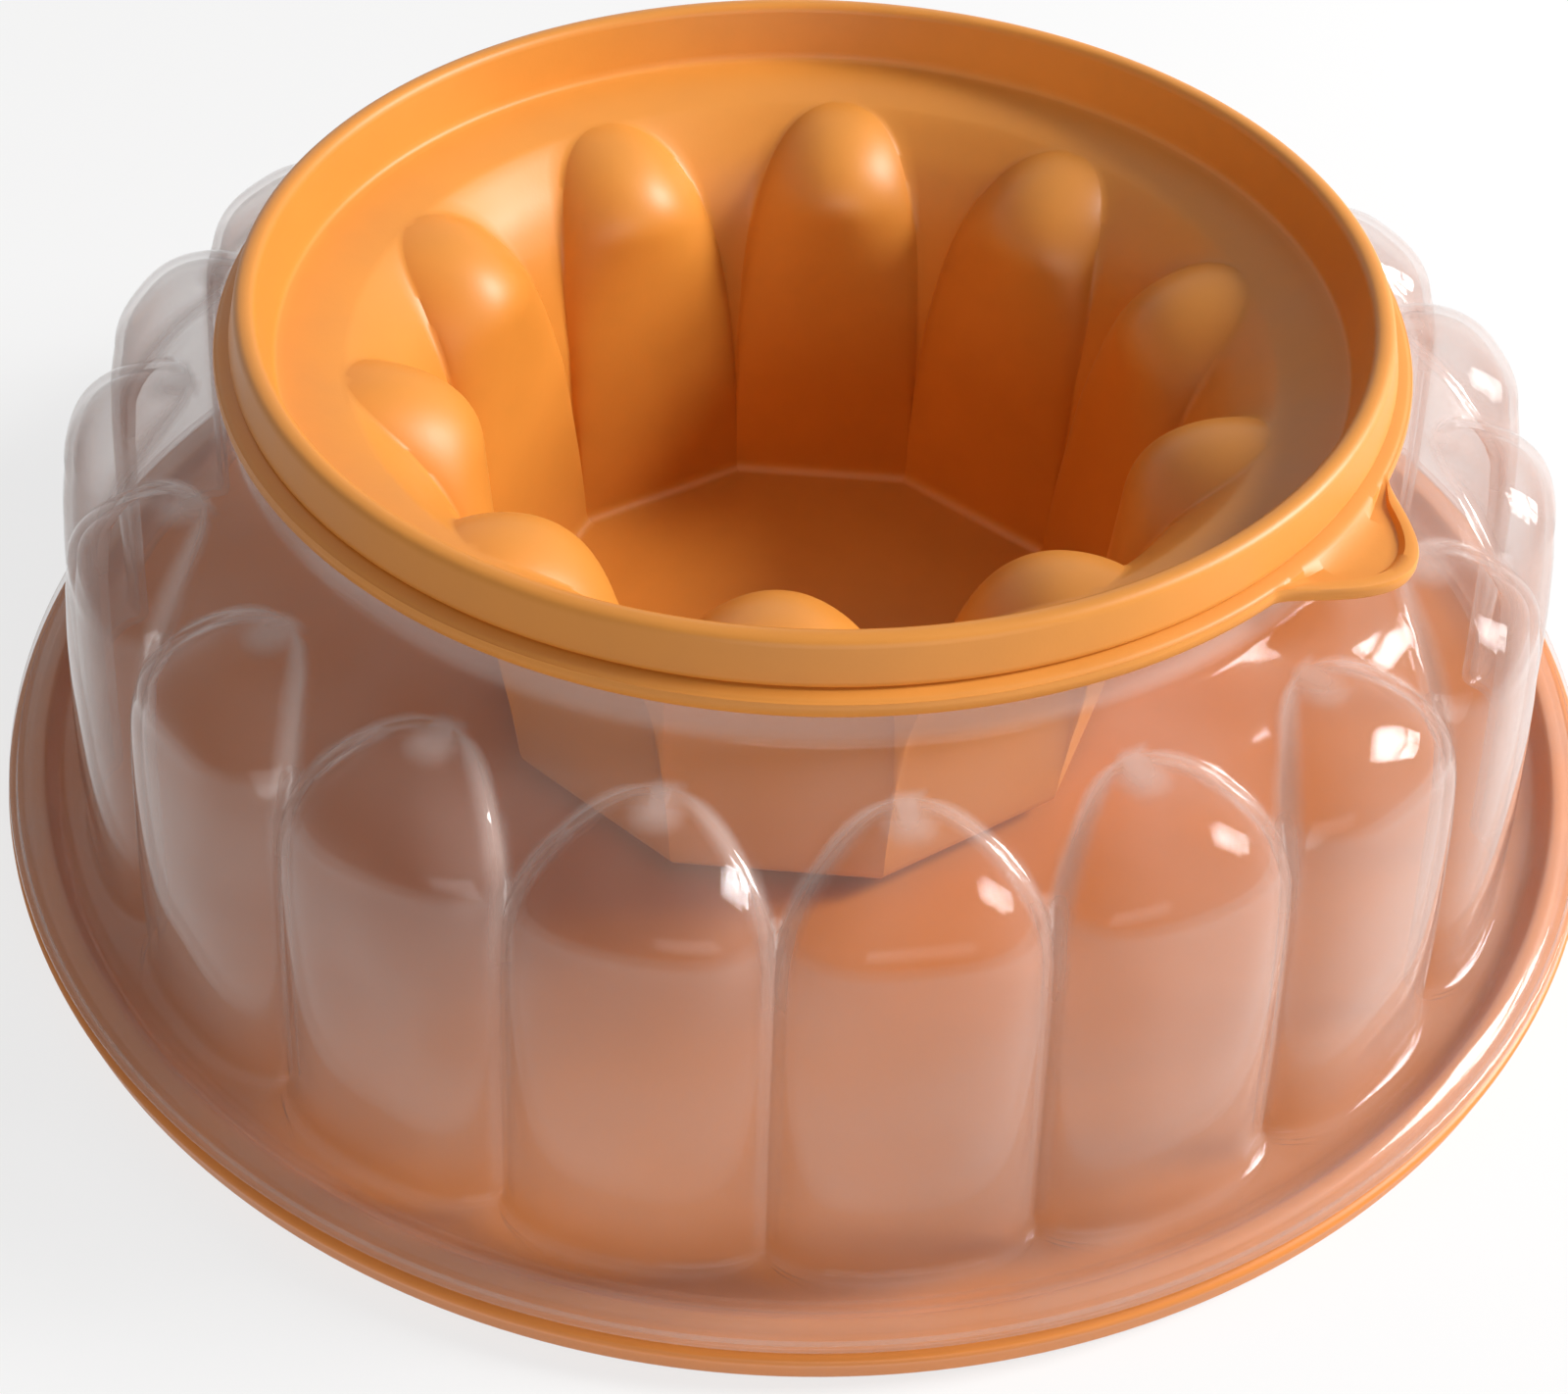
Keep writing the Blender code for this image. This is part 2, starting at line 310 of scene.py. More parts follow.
def ring_of_sectors():
    """A Geometry Nodes tree that turns copies of one sector round the Z axis and welds them into one ring."""
    tree = bpy.data.node_groups.new("ring_of_sectors", "GeometryNodeTree")
    sockets = {}
    for name, kind in (
        ("Sector", "NodeSocketGeometry"),
        ("Count", "NodeSocketInt"),
        ("First Turn", "NodeSocketFloat"),
        ("Weld Distance", "NodeSocketFloat"),
        ("Material", "NodeSocketMaterial"),
    ):
        sockets[name] = tree.interface.new_socket(name, in_out="INPUT", socket_type=kind)
    tree.interface.new_socket("Ring", in_out="OUTPUT", socket_type="NodeSocketGeometry")
    given = add_node(tree, "NodeGroupInput").outputs
    points = add_node(tree, "GeometryNodePoints", {"Count": given["Count"]})
    index = add_node(tree, "GeometryNodeInputIndex").outputs[0]
    step = add_node(
        tree, "ShaderNodeMath", {0: 2.0 * math.pi, 1: given["Count"]}, operation="DIVIDE"
    ).outputs[0]
    turn = add_node(
        tree, "ShaderNodeMath", {0: index, 1: step, 2: given["First Turn"]}, operation="MULTIPLY_ADD"
    ).outputs[0]
    axis = add_node(tree, "ShaderNodeCombineXYZ", {"Z": turn}).outputs[0]
    rotation = add_node(tree, "FunctionNodeEulerToRotation", {0: axis}).outputs[0]
    copies = add_node(
        tree,
        "GeometryNodeInstanceOnPoints",
        {"Points": points.outputs[0], "Instance": given["Sector"], "Rotation": rotation},
    )
    real = add_node(tree, "GeometryNodeRealizeInstances", {0: copies.outputs[0]})
    welded = add_node(
        tree, "GeometryNodeMergeByDistance", {"Geometry": real.outputs[0], "Distance": given["Weld Distance"]}
    )
    painted = add_node(
        tree, "GeometryNodeSetMaterial", {"Geometry": welded.outputs[0], "Material": given["Material"]}
    )
    add_node(tree, "NodeGroupOutput", {"Ring": painted.outputs[0]})
    return tree, {name: socket.identifier for name, socket in sockets.items()}


def ring_from_sector(name, sector, count, first_turn, material):
    """A piece made of count copies of the sector mesh."""
    obj = add_piece(name, sector)
    tree, identifiers = ring_of_sectors()
    modifier = obj.modifiers.new("ring", "NODES")
    modifier.node_group = tree
    modifier[identifiers["Count"]] = count
    modifier[identifiers["First Turn"]] = first_turn
    modifier[identifiers["Weld Distance"]] = 0.004 * MM
    modifier[identifiers["Material"]] = material
    return obj


def finish_piece(obj, node):
    """The piece rides on the mould's one body and stands for its CAD node, which is hidden."""
    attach(obj, "root")
    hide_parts(node)
    return obj


# Clear ring body


def lobe_middle(body, z):
    """Radius of a lobe's middle line at height z."""
    cap, top = body.cap_height / MM, body.lobe_top_height / MM
    if z <= cap:
        return smooth_through(LOBE_Z, LOBE_R, z)
    over = min(1.0, (z - cap) / (top - cap))
    reach = body.lobe_top_radius / MM
    return reach + (LOBE_R[-1] - reach) * math.sqrt(1.0 - over**2)


def arch_spread(body, z):
    """Half width of a lobe's arch at height z, as a share of the lobe."""
    crotch, top = body.crotch_height / MM, body.lobe_top_height / MM
    if z <= crotch:
        return 1.0
    return max(0.0, 1.0 - min(1.0, (z - crotch) / (top - crotch)) ** 2.3) ** 0.43


def lobed_radius(body, across, z):
    """Outside of the clear wall, across from -1 to 1 over one lobe."""
    core = smooth_through(CORE_Z, CORE_R, z)
    spread = arch_spread(body, z)
    if z >= body.lobe_top_height / MM or spread < 1e-3:
        return core
    swell = max(0.0, lobe_middle(body, z) - core)
    left = 1.0 - min(abs(across) / spread, 1.5) ** 3
    lobe = core + swell * math.copysign(abs(left) ** 0.62, left)
    return soft_max(core, lobe, body.crease / MM)


def body_sector(body, columns):
    """One lobe's share of the body: flange, foot, wall, cap, shoulder and neck, outside only."""
    foot, crotch = body.foot_height / MM, body.crotch_height / MM
    cap, top = body.cap_height / MM, body.lobe_top_height / MM
    edge, neck, neck_top = body.flange_radius / MM, body.neck_radius / MM, body.neck_height / MM
    flange = [
        (edge - 0.7, foot + 0.4),
        (edge - 0.15, foot + 0.7),
        (edge, foot + 1.2),
        (edge - 0.2, foot + 1.7),
        (edge - 0.8, foot + 1.95),
        (edge - 1.7, foot + 1.85),
        (edge - 2.1, foot + 1.6),
        (edge - 2.6, foot + 1.95),
        (edge - 4.4, foot + 2.3),
        (edge - 5.0, foot + 2.35),
        (edge - 5.6, foot + 2.1),
        (edge - 6.6, foot + 0.7),
        (edge - 7.3, foot + 0.15),
        (edge - 8.2, foot),
    ]
    wall = [foot + 1.6, *np.linspace(foot + 8.0, crotch, 6), *np.linspace(crotch, cap, 4)[1:]]
    arch = [cap + (top - cap) * math.sin(a) for a in quarter(17)[1:]]
    levels = [*wall, *arch]
    upper = [(smooth_through(CORE_Z, CORE_R, z), z) for z in (62.15, 62.6, 63.1, 63.6, 64.0)]
    upper += [(79.05, 64.4), (78.95, 64.9), (78.6, 65.8), (neck + 0.15, 67.8), (neck, 68.8)]
    upper += [(neck, neck_top - 0.4), (neck - 0.12, neck_top - 0.1), (neck - 0.4, neck_top)]

    def column_at(place):
        column = [(r, z, place) for r, z in flange]
        near = across_arch(place, 1.0)
        side = lobed_radius(body, near, foot)
        column += [(side + out, foot + up, near) for out, up in ((1.5, 0.0), (0.75, 0.12), (0.3, 0.5))]
        for z in levels:
            across = across_arch(place, arch_spread(body, z))
            column.append((lobed_radius(body, across, z), z, across))
        for k, (r, z) in enumerate(upper):
            share = ease((k + 1) / len(upper))
            column.append((r, z, across_arch(place, 0.0) * (1.0 - share) + place * share))
        return column

    mesh = sector_mesh("body_sector", body.lobes, columns, column_at)
    rows = len(mesh.vertices) // (columns + 1)
    first = len(flange) + 3
    # The rim attribute is a painted highlight: a pale line round each arch and down each seam, fainter below
    # 38 mm
    rim = np.zeros((columns + 1, rows))
    for k, place in enumerate(np.linspace(-1.0, 1.0, columns + 1)):
        for row, z in enumerate(levels):
            spread = max(arch_spread(body, z), 0.05)
            beside = abs(across_arch(place, spread)) / spread - 1.0
            off = min(abs(beside) / ARCH_HIGHLIGHT_SHARE, max(top - z, 0.0) / ARCH_HIGHLIGHT_TOP + 20.0 * max(beside, 0.0))
            rim[k, first + row] = math.exp(-off * off) * (0.35 + 0.65 * ease((z - 38.0) / (crotch - 38.0)))
    mesh.attributes.new("rim", "FLOAT", "POINT").data.foreach_set("value", rim.ravel())
    return mesh


# Orange insert


def flute_spread(insert, z):
    """Half width of a flute at height z, as a share of its sector: full at the floor, arched at the head."""
    floor, head = insert.floor_height / MM, insert.head_height / MM
    return max(0.0, 1.0 - min(1.0, max(0.0, z - floor) / (head - floor)) ** 3) ** 0.42


def flute_front(insert, z):
    """Radius of a flute's ridge: nearly upright from the floor, then rounding over to the head."""
    floor, dome, head = insert.floor_height / MM, insert.dome_height / MM, insert.head_height / MM
    if z <= dome:
        return insert.floor_flat / MM + (z - floor) / (dome - floor)
    over = math.sqrt(max(0.0, 1.0 - ((z - dome) / (head - dome)) ** 2))
    return insert.head_radius / MM * (1.0 - over) + (insert.floor_flat / MM + 1.0) * over


def well_radius(insert, across, z):
    """Inside of the well: a bell mouth with the flutes standing in from it, flat-sided at the floor."""
    bell = smooth_through(BELL_Z, BELL_R, z)
    spread = flute_spread(insert, z)
    if spread < 1e-3:
        return bell
    front = flute_front(insert, z)
    flat = front / math.cos(across * math.pi / insert.flutes)
    left = 1.0 - min(abs(across) / spread, 1.6) ** 2.1
    round_face = bell - (bell - front) * math.copysign(abs(left) ** 0.6, left)
    roundness = ease((z - FLAT_Z) / (ROUND_Z - FLAT_Z))
    return soft_min(bell, flat * (1.0 - roundness) + round_face * roundness, insert.crease / MM)


def insert_sector(insert, columns):
    """One flute's share of the insert: well, rim and outer band, then back below."""
    floor, dome, head = insert.floor_height / MM, insert.dome_height / MM, insert.head_height / MM
    wall = insert.wall / MM
    corner = 2.0
    rise = [
        *np.linspace(floor + corner, 36.0, 9)[1:],
        *np.linspace(36.0, dome, 11)[1:],
        *[dome + (head - dome) * math.sin(a) for a in quarter(28)[1:]],
    ]
    down = wall * 0.8
    fall = [*np.linspace(head - 0.2, dome, 20), *np.linspace(dome, 36.0, 9)[1:]]
    fall += [28.0, 20.0, 12.0, floor + 3.0]
    upper = [(smooth_through(BELL_Z, BELL_R, z), z) for z in np.linspace(head, 68.2, 8)[1:]]
    rim = [(71.7, 68.45), (72.05, 68.65), (72.25, 69.1), (72.4, 70.0), (73.15, 76.0), (73.3, 76.55)]
    rim += [(73.6, 76.97), (74.05, 77.22), (74.6, 77.3), (75.15, 77.28), (75.65, 77.12), (76.02, 76.78)]
    rim += [(76.2, 76.25), (77.28, 72.55), (77.38, 72.2), (77.3, 71.9), (77.0, 71.75), (76.8, 71.5)]
    rim += [(76.5, 71.25), (75.2, 71.2), (74.2, 67.4), (73.0, 66.9), (67.9, 65.7)]

    def column_at(place):
        near = across_arch(place, 1.0)
        flat = well_radius(insert, near, floor + corner)
        column = [(r, floor, near) for r in (0.0, 12.0, 26.0, 37.0)]
        for a in quarter(6):
            column.append((flat - corner * (1.0 - math.sin(a)), floor + corner * (1.0 - math.cos(a)), near))
        for z in rise:
            across = across_arch(place, flute_spread(insert, z))
            column.append((well_radius(insert, across, z), z, across))
        narrow = across_arch(place, 0.0)
        for k, (r, z) in enumerate(upper):
            share = ease((k + 1) / len(upper))
            column.append((r, z, narrow * (1.0 - share) + place * share))
        column += [(r, z, place) for r, z in rim]
        for z in fall:
            across = across_arch(place, flute_spread(insert, z))
            column.append((well_radius(insert, across, z) + wall, z - down, across))
        column.append((flat + wall - 0.3, floor + 0.3, near))
        column.append((flat + wall - 1.1, floor - 0.9, near))
        column.append((flat - 1.0, floor - wall, near))
        column.append((0.0, floor - wall, near))
        return column

    return sector_mesh("insert_sector", insert.flutes, columns, column_at)


def press_ring_column(insert, turn):
    """The press ring cut at one angle. At the tab it reaches out, its face sunk inside a raised border."""
    ring = insert.skirt_radius / MM
    away = (turn - insert.tab_turn + math.pi) % (2.0 * math.pi) - math.pi
    swing = min(1.0, abs(away) / insert.tab_spread)
    width = (insert.tab_reach / MM - ring) * (0.5 + 0.5 * math.cos(math.pi * swing)) ** 0.75
    edge = ring + width
    sunk = 0.9 * ease(width / 4.5)
    inner = ring - 0.6 + 0.25 * ease(width / 3.0)
    outer = max(inner + 0.1, edge - 0.6 - 1.3 * ease(width / 4.0))
    return [
        (76.5, 71.72),
        (77.3, 71.6),
        (78.0, 71.5),
        (78.6, 71.42),
        (inner, 71.3 - 0.1 * sunk),
        (inner + 0.2 * (outer - inner), 71.28 - sunk),
        (inner + 0.6 * (outer - inner), 71.27 - sunk),
        (outer - 0.1 * (outer - inner), 71.26 - sunk),
        (outer + 0.02, 71.24 - 0.15 * sunk),
        (0.5 * (outer + edge), 71.2),
        (edge - 0.22, 71.0),
        (edge - 0.05, 70.75),
        (edge, 70.4),
        (edge, 69.75),
        (edge - 0.12, 69.5 - 0.2 * sunk),
        (edge - 0.5, 69.35 - 0.3 * sunk),
        (ring - 1.3, 69.35 - 0.3 * sunk),
        (ring - 1.6, 69.6),
        (ring - 1.6, 71.2),
        (76.5, 71.3),
    ]


def press_ring_angles(insert):
    """Even steps round the ring, and finer ones over the tab."""
    spread = insert.tab_spread * 1.1
    over_tab = np.linspace(-spread, spread, 91)
    rest = np.linspace(spread, 2.0 * math.pi - spread, 361)[1:-1]
    return insert.tab_turn + np.concatenate([over_tab, rest])


# Base seal


def seal_profile(seal):
    """Half section of the base seal from the axis over the plate, upstand and lip, and back below."""
    top, edge = seal.plate_height / MM, seal.radius / MM
    return [
        (0.0, top),
        (113.2, top),
        (113.7, top + 0.2),
        (114.1, top + 0.7),
        (114.9, 5.2),
        (115.2, 5.75),
        (115.8, 6.0),
        (116.8, 5.9),
        (117.4, 5.6),
        (117.8, 5.25),
        (edge - 0.9, 5.2),
        (edge - 0.35, 5.1),
        (edge - 0.05, 4.8),
        (edge, 4.4),
        (edge - 0.05, 3.9),
        (edge - 0.3, 3.5),
        (edge - 0.5, 3.2),
        (edge - 0.5, 1.0),
        (edge - 0.7, 0.4),
        (edge - 1.2, 0.05),
        (edge - 1.8, 0.0),
        (0.0, 0.0),
    ]


# Materials


def new_material(name):
    """A material with an empty node tree."""
    material = bpy.data.materials.new(name)
    material.use_nodes = True
    material.node_tree.nodes.clear()
    return material, material.node_tree


def clear_polypropylene(body):
    """Injection-moulded clear polypropylene: glossy and slightly milky, hazier below the caps."""
    material, tree = new_material("clear_moulded_polypropylene")
    place = add_node(tree, "ShaderNodeTexCoord").outputs["Object"]
    height = add_node(tree, "ShaderNodeSeparateXYZ", {0: place}).outputs["Z"]
    # Cloudy flow in the melt, some 18 mm across
    flow = add_node(
        tree, "ShaderNodeTexNoise", {"Vector": place, "Scale": 55.0, "Detail": 1.0, "Roughness": 0.55}
    ).outputs["Fac"]
    wavy = add_node(
        tree, "ShaderNodeMath", {0: flow, 1: 2.0 * MM, 2: height}, operation="MULTIPLY_ADD"
    ).outputs[0]
    # Hazier below the caps, over a wavy line at about 53 to 55 mm
    below_caps = add_node(
        tree,
        "ShaderNodeMapRange",
        {"Value": wavy, "From Min": 54.6 * MM, "From Max": 53.2 * MM, "To Min": 0.0, "To Max": 1.0},
        interpolation_type="SMOOTHSTEP",
    ).outputs[0]
    above_foot = add_node(
        tree,
        "ShaderNodeMapRange",
        {"Value": height, "From Min": 6.0 * MM, "From Max": 20.0 * MM, "To Min": 0.45, "To Max": 1.0},
        interpolation_type="SMOOTHSTEP",
    ).outputs[0]
    haze = add_node(tree, "ShaderNodeMath", {0: below_caps, 1: above_foot}, operation="MULTIPLY").outputs[0]
    cloud = add_node(
        tree,
        "ShaderNodeMapRange",
        {"Value": flow, "From Min": 0.3, "From Max": 0.7, "To Min": -0.03, "To Max": 0.03},
    ).outputs[0]
    solid = add_node(
        tree,
        "ShaderNodeMapRange",
        {"Value": haze, "From Min": 0.0, "From Max": 1.0, "To Min": 0.10, "To Max": 0.21},
    ).outputs[0]
    solid = add_node(tree, "ShaderNodeMath", {0: solid, 1: cloud}, operation="ADD").outputs[0]
    # Hazier over the neck from 64 mm up, so it shows as a pale band under the press ring
    neck = add_node(
        tree,
        "ShaderNodeMapRange",
        {"Value": height, "From Min": 64.2 * MM, "From Max": 65.4 * MM, "To Min": 0.0, "To Max": 0.22},
    ).outputs[0]
    solid = add_node(tree, "ShaderNodeMath", {0: solid, 1: neck}, operation="ADD").outputs[0]
    # A painted highlight: paler haze along the step round each arch and down each seam
    rim = add_node(
        tree, "ShaderNodeAttribute", attribute_name="rim", attribute_type="GEOMETRY"
    ).outputs["Fac"]
    solid = add_node(tree, "ShaderNodeMath", {0: rim, 1: 0.3, 2: solid}, operation="MULTIPLY_ADD").outputs[0]
    # More plastic lies along the line of sight where the wall turns away
    facing = add_node(tree, "ShaderNodeLayerWeight", {"Blend": 0.5}).outputs["Facing"]
    grazing = add_node(tree, "ShaderNodeMath", {0: facing, 1: 4.0}, operation="POWER").outputs[0]
    alpha = add_node(
        tree, "ShaderNodeMath", {0: grazing, 1: 0.72, 2: solid}, operation="MULTIPLY_ADD", use_clamp=True
    ).outputs[0]
    # Slow ripples of the mould's polish
    ripple = add_node(
        tree, "ShaderNodeTexNoise", {"Vector": place, "Scale": 120.0, "Detail": 0.0}
    ).outputs["Fac"]
    bump = add_node(
        tree, "ShaderNodeBump", {"Strength": 0.06, "Distance": 0.6 * MM, "Height": ripple}
    ).outputs[0]
    shader = add_node(
        tree,
        "ShaderNodeBsdfPrincipled",
        {
            "Base Color": (*body.haze, 1.0),
            "Roughness": 0.09,
            "IOR": 1.49,
            "Specular IOR Level": 0.8,
            "Coat Weight": 1.0,
            "Coat Roughness": 0.03,
            "Alpha": alpha,
            "Normal": bump,
        },
    )
    add_node(tree, "ShaderNodeOutputMaterial", {"Surface": shader.outputs[0]})
    return material


def orange_polyethylene(name, base, grain):
    """Soft orange polyethylene from a lightly textured mould: satin, with a faint mottle in the colour."""
    material, tree = new_material(name)
    place = add_node(tree, "ShaderNodeTexCoord").outputs["Object"]
    mottle = add_node(
        tree, "ShaderNodeTexNoise", {"Vector": place, "Scale": 40.0, "Detail": 4.0, "Roughness": 0.6}
    ).outputs["Fac"]
    shade = add_node(
        tree,
        "ShaderNodeMapRange",
        {"Value": mottle, "From Min": 0.3, "From Max": 0.7, "To Min": 0.95, "To Max": 1.05},
    ).outputs[0]
    tint = add_node(
        tree, "ShaderNodeVectorMath", {0: tuple(base), "Scale": shade}, operation="SCALE"
    ).outputs[0]
    # Fine satin grain of the mould's surface, about 0.6 mm
    texture = add_node(
        tree, "ShaderNodeTexNoise", {"Vector": place, "Scale": 1600.0, "Detail": 2.0, "Roughness": 0.6}
    ).outputs["Fac"]
    bump = add_node(
        tree, "ShaderNodeBump", {"Strength": grain, "Distance": 0.05 * MM, "Height": texture}
    ).outputs[0]
    rough = add_node(
        tree,
        "ShaderNodeMapRange",
        {"Value": mottle, "From Min": 0.3, "From Max": 0.7, "To Min": 0.38, "To Max": 0.48},
    ).outputs[0]
    shader = add_node(
        tree,
        "ShaderNodeBsdfPrincipled",
        {
            "Base Color": tint,
            "Roughness": rough,
            "IOR": 1.5,
            "Specular IOR Level": 0.5,
            "Normal": bump,
        },
    )
    add_node(tree, "ShaderNodeOutputMaterial", {"Surface": shader.outputs[0]})
    return material


def seen_directly(tree):
    """1 for rays from the camera and for those mirrored or passed on by the object, 0 for other light."""
    path = add_node(tree, "ShaderNodeLightPath").outputs
    either = add_node(
        tree, "ShaderNodeMath", {0: path["Is Camera Ray"], 1: path["Is Glossy Ray"]}, operation="MAXIMUM"
    ).outputs[0]
    return add_node(
        tree, "ShaderNodeMath", {0: either, 1: path["Is Transmission Ray"]}, operation="MAXIMUM"
    ).outputs[0]


def floor_paper(stage):
    """Matt white paper. It looks white where it is lit and keeps the mould's shadow."""
    material, tree = new_material("matt_white_paper")
    place = add_node(tree, "ShaderNodeTexCoord").outputs["Object"]
    fibre = add_node(
        tree, "ShaderNodeTexNoise", {"Vector": place, "Scale": 900.0, "Detail": 3.0}
    ).outputs["Fac"]
    bump = add_node(
        tree, "ShaderNodeBump", {"Strength": 0.05, "Distance": 0.05 * MM, "Height": fibre}
    ).outputs[0]
    paper = add_node(
        tree,
        "ShaderNodeBsdfPrincipled",
        {"Base Color": (*stage.floor, 1.0), "Roughness": 0.9, "Specular IOR Level": 0.2, "Normal": bump},
    )
    glow = add_node(tree, "ShaderNodeEmission", {"Color": (1.0, 1.0, 1.0, 1.0), "Strength": 1.0})
    share = add_node(
        tree, "ShaderNodeMath", {0: seen_directly(tree), 1: 0.75}, operation="MULTIPLY"
    ).outputs[0]
    mixed = add_node(tree, "ShaderNodeMixShader", {0: share, 1: paper.outputs[0], 2: glow.outputs[0]})
    add_node(tree, "ShaderNodeOutputMaterial", {"Surface": mixed.outputs[0]})
    return material


# Operators


class JELLYMOULD_OT_clear_body(bpy.types.Operator):
    """Add the clear lobed ring body"""

    bl_idname = "jelly_mould.clear_body"
    bl_label = "Clear ring body"

    def execute(self, context):
        body = context.scene.jelly_body
        sector = body_sector(body, LOBE_COLUMNS)
        obj = ring_from_sector(
            "clear_ring_body", sector, body.lobes, math.pi / body.lobes, clear_polypropylene(body)
        )
        wall = obj.modifiers.new("wall", "SOLIDIFY")
        wall.thickness = body.wall
        wall.offset = -1.0
        finish_piece(applied(obj, 50.0), "mould_body")
        return {"FINISHED"}


class JELLYMOULD_OT_centre_insert(bpy.types.Operator):
    """Add the orange fluted insert"""

    bl_idname = "jelly_mould.centre_insert"
    bl_label = "Centre insert"

    def execute(self, context):
        insert = context.scene.jelly_insert
        plastic = orange_polyethylene("orange_satin_polyethylene", insert.orange, 0.25)
        sector = insert_sector(insert, FLUTE_COLUMNS)
        obj = ring_from_sector("fluted_insert", sector, insert.flutes, insert.flute_turn, plastic)
        finish_piece(applied(obj, 40.0), "centre_insert")
        return {"FINISHED"}


class JELLYMOULD_OT_press_ring(bpy.types.Operator):
    """Add the insert's press ring with its finger tab"""

    bl_idname = "jelly_mould.press_ring"
    bl_label = "Press ring and tab"

    def execute(self, context):
        insert = context.scene.jelly_insert
        angles = press_ring_angles(insert)
        mesh = ring_mesh("press_ring", angles, lambda turn: press_ring_column(insert, turn))
        mesh.materials.append(bpy.data.materials["orange_satin_polyethylene"])
        obj = applied(add_piece("press_ring_with_tab", mesh), 40.0)
        finish_piece(obj, "centre_insert")
        return {"FINISHED"}


class JELLYMOULD_OT_base_seal(bpy.types.Operator):
    """Add the orange base seal"""

    bl_idname = "jelly_mould.base_seal"
    bl_label = "Base seal"

    def execute(self, context):
        seal = context.scene.jelly_seal
        points = [(r * MM, 0.0, z * MM) for r, z in seal_profile(seal)]
        mesh = bpy.data.meshes.new("base_seal_profile")
        mesh.from_pydata(points, [(k, k + 1) for k in range(len(points) - 1)], [])
        mesh.materials.append(orange_polyethylene("orange_seal_polyethylene", seal.orange, 0.2))
        obj = add_piece("base_seal_dish", mesh)
        screw = obj.modifiers.new("turn", "SCREW")
        screw.axis = "Z"
        screw.steps = seal.steps
        screw.render_steps = seal.steps
        screw.use_merge_vertices = True
        screw.merge_threshold = 0.01 * MM
        screw.use_normal_calculate = True
        finish_piece(applied(obj, 40.0), "base_seal")
        return {"FINISHED"}


def add_lamp(name, place, size, watts):
    """A rectangular white lamp that shines at the middle of the mould."""
    data = bpy.data.lights.new(name, "AREA")
    data.shape = "RECTANGLE"
    data.size, data.size_y = size
    data.energy = watts
    obj = bpy.data.objects.new(name, data)
    bpy.context.scene.collection.objects.link(obj)
    obj.location = place
    aim = Vector((0.0, 0.0, 0.04)) - Vector(place)
    obj.rotation_euler = aim.to_track_quat("-Z", "Y").to_euler()
    return obj


def around(turn_degrees, rise_degrees, distance):
    """A place at a distance from the mould, by its direction round the axis and its angle above the floor."""
    turn, rise = math.radians(turn_degrees), math.radians(rise_degrees)
    return (
        distance * math.cos(turn) * math.cos(rise),
        distance * math.sin(turn) * math.cos(rise),
        distance * math.sin(rise),
    )


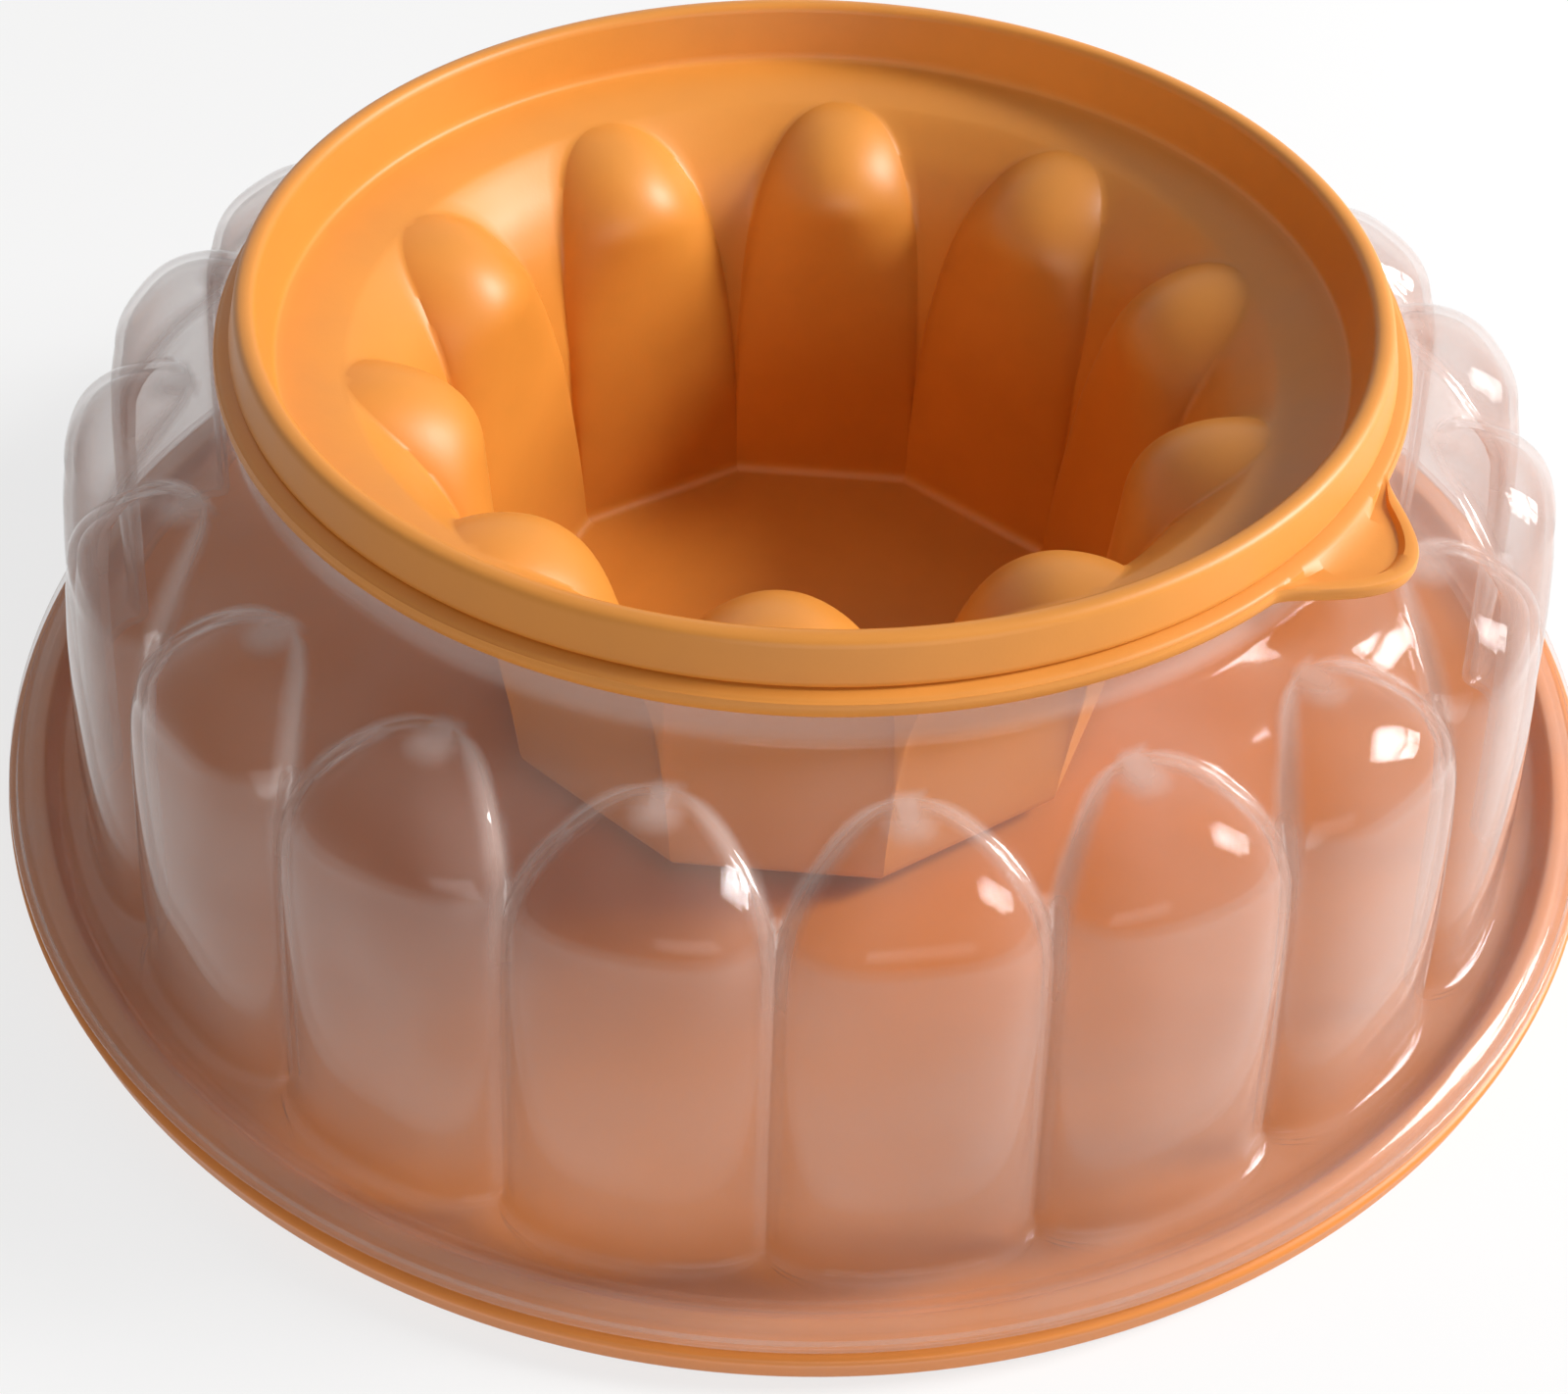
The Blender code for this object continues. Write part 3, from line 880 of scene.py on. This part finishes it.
class JELLYMOULD_OT_stage(bpy.types.Operator):
    """Add the floor, the lamps, the world and the camera"""

    bl_idname = "jelly_mould.stage"
    bl_label = "Stage"

    def execute(self, context):
        scene, stage = context.scene, context.scene.jelly_stage
        half = 3.0
        corners = [(-half, -half, 0.0), (half, -half, 0.0), (half, half, 0.0), (-half, half, 0.0)]
        mesh = bpy.data.meshes.new("floor")
        mesh.from_pydata(corners, [], [(0, 1, 2, 3)])
        mesh.materials.append(floor_paper(stage))
        add_piece("floor", mesh)
        for side, turn in (("left", 15.0), ("right", 5.0)):
            add_lamp("window_" + side, around(turn, 40.0, 1.2), (0.18, 0.26), stage.window_power)
            add_lamp("window_low_" + side, around(turn, 27.0, 1.2), (0.16, 0.2), stage.sill_power)
        add_lamp("sky", (0.1, 0.3, 1.6), (1.4, 1.4), stage.sky_power)
        add_lamp("fill", around(-75.0, 16.0, 1.8), (1.6, 0.7), stage.fill_power)
        world = bpy.data.worlds.new("soft_room")
        world.use_nodes = True
        tree = world.node_tree
        tree.nodes.clear()
        strength = add_node(
            tree, "ShaderNodeMapRange", {"Value": seen_directly(tree), "To Min": stage.ambient, "To Max": 1.0}
        ).outputs[0]
        room = add_node(tree, "ShaderNodeBackground", {"Color": (1.0, 1.0, 1.0, 1.0), "Strength": strength})
        add_node(tree, "ShaderNodeOutputWorld", {"Surface": room.outputs[0]})
        scene.world = world
        data = bpy.data.cameras.new("camera")
        data.sensor_width = 36.0
        data.lens = stage.focal_length
        data.clip_start = 0.01
        camera = bpy.data.objects.new("camera", data)
        scene.collection.objects.link(camera)
        camera.matrix_world = (
            Matrix.Rotation(stage.camera_turn, 4, "Z")
            @ Matrix.Translation((0.0, -stage.camera_distance, stage.camera_height))
            @ Matrix.Rotation(-stage.camera_pan, 4, "Z")
            @ Matrix.Rotation(math.pi / 2.0 - stage.camera_tilt, 4, "X")
            @ Matrix.Rotation(stage.camera_roll, 4, "Z")
        )
        scene.camera = camera
        scene.view_settings.view_transform = "Standard"
        # Rays cross four thin skins of clear plastic on each side; the deeper bounces add nothing to see
        scene.cycles.transparent_max_bounces = 10
        scene.cycles.max_bounces = 4
        scene.cycles.diffuse_bounces = 2
        scene.cycles.glossy_bounces = 2
        return {"FINISHED"}


class JELLYMOULD_PT_sidebar(bpy.types.Panel):
    """Lists the mould's pieces and their sizes"""

    bl_label = "Jelly ring mould"
    bl_idname = "JELLYMOULD_PT_sidebar"
    bl_space_type = "VIEW_3D"
    bl_region_type = "UI"
    bl_category = "Jelly mould"

    def draw(self, context):
        for operators, group in (
            (("clear_body",), context.scene.jelly_body),
            (("centre_insert", "press_ring"), context.scene.jelly_insert),
            (("base_seal",), context.scene.jelly_seal),
            (("stage",), context.scene.jelly_stage),
        ):
            box = self.layout.box()
            for name in operators:
                box.operator("jelly_mould." + name)
            for name in group.__annotations__:
                box.prop(group, name)


GROUPS = {
    "jelly_body": ClearBodyProperties,
    "jelly_insert": InsertProperties,
    "jelly_seal": BaseSealProperties,
    "jelly_stage": StageProperties,
}
CLASSES = (
    *GROUPS.values(),
    JELLYMOULD_OT_clear_body,
    JELLYMOULD_OT_centre_insert,
    JELLYMOULD_OT_press_ring,
    JELLYMOULD_OT_base_seal,
    JELLYMOULD_OT_stage,
    JELLYMOULD_PT_sidebar,
)


def register():
    for cls in CLASSES:
        bpy.utils.register_class(cls)
    for name, group in GROUPS.items():
        setattr(bpy.types.Scene, name, bpy.props.PointerProperty(type=group))


def unregister():
    for name in GROUPS:
        delattr(bpy.types.Scene, name)
    for cls in reversed(CLASSES):
        bpy.utils.unregister_class(cls)


def main():
    register()
    bpy.ops.jelly_mould.clear_body()
    bpy.ops.jelly_mould.centre_insert()
    bpy.ops.jelly_mould.press_ring()
    bpy.ops.jelly_mould.base_seal()
    bpy.ops.jelly_mould.stage()
    bpy.context.view_layer.update()


if __name__ == "__main__":
    main()
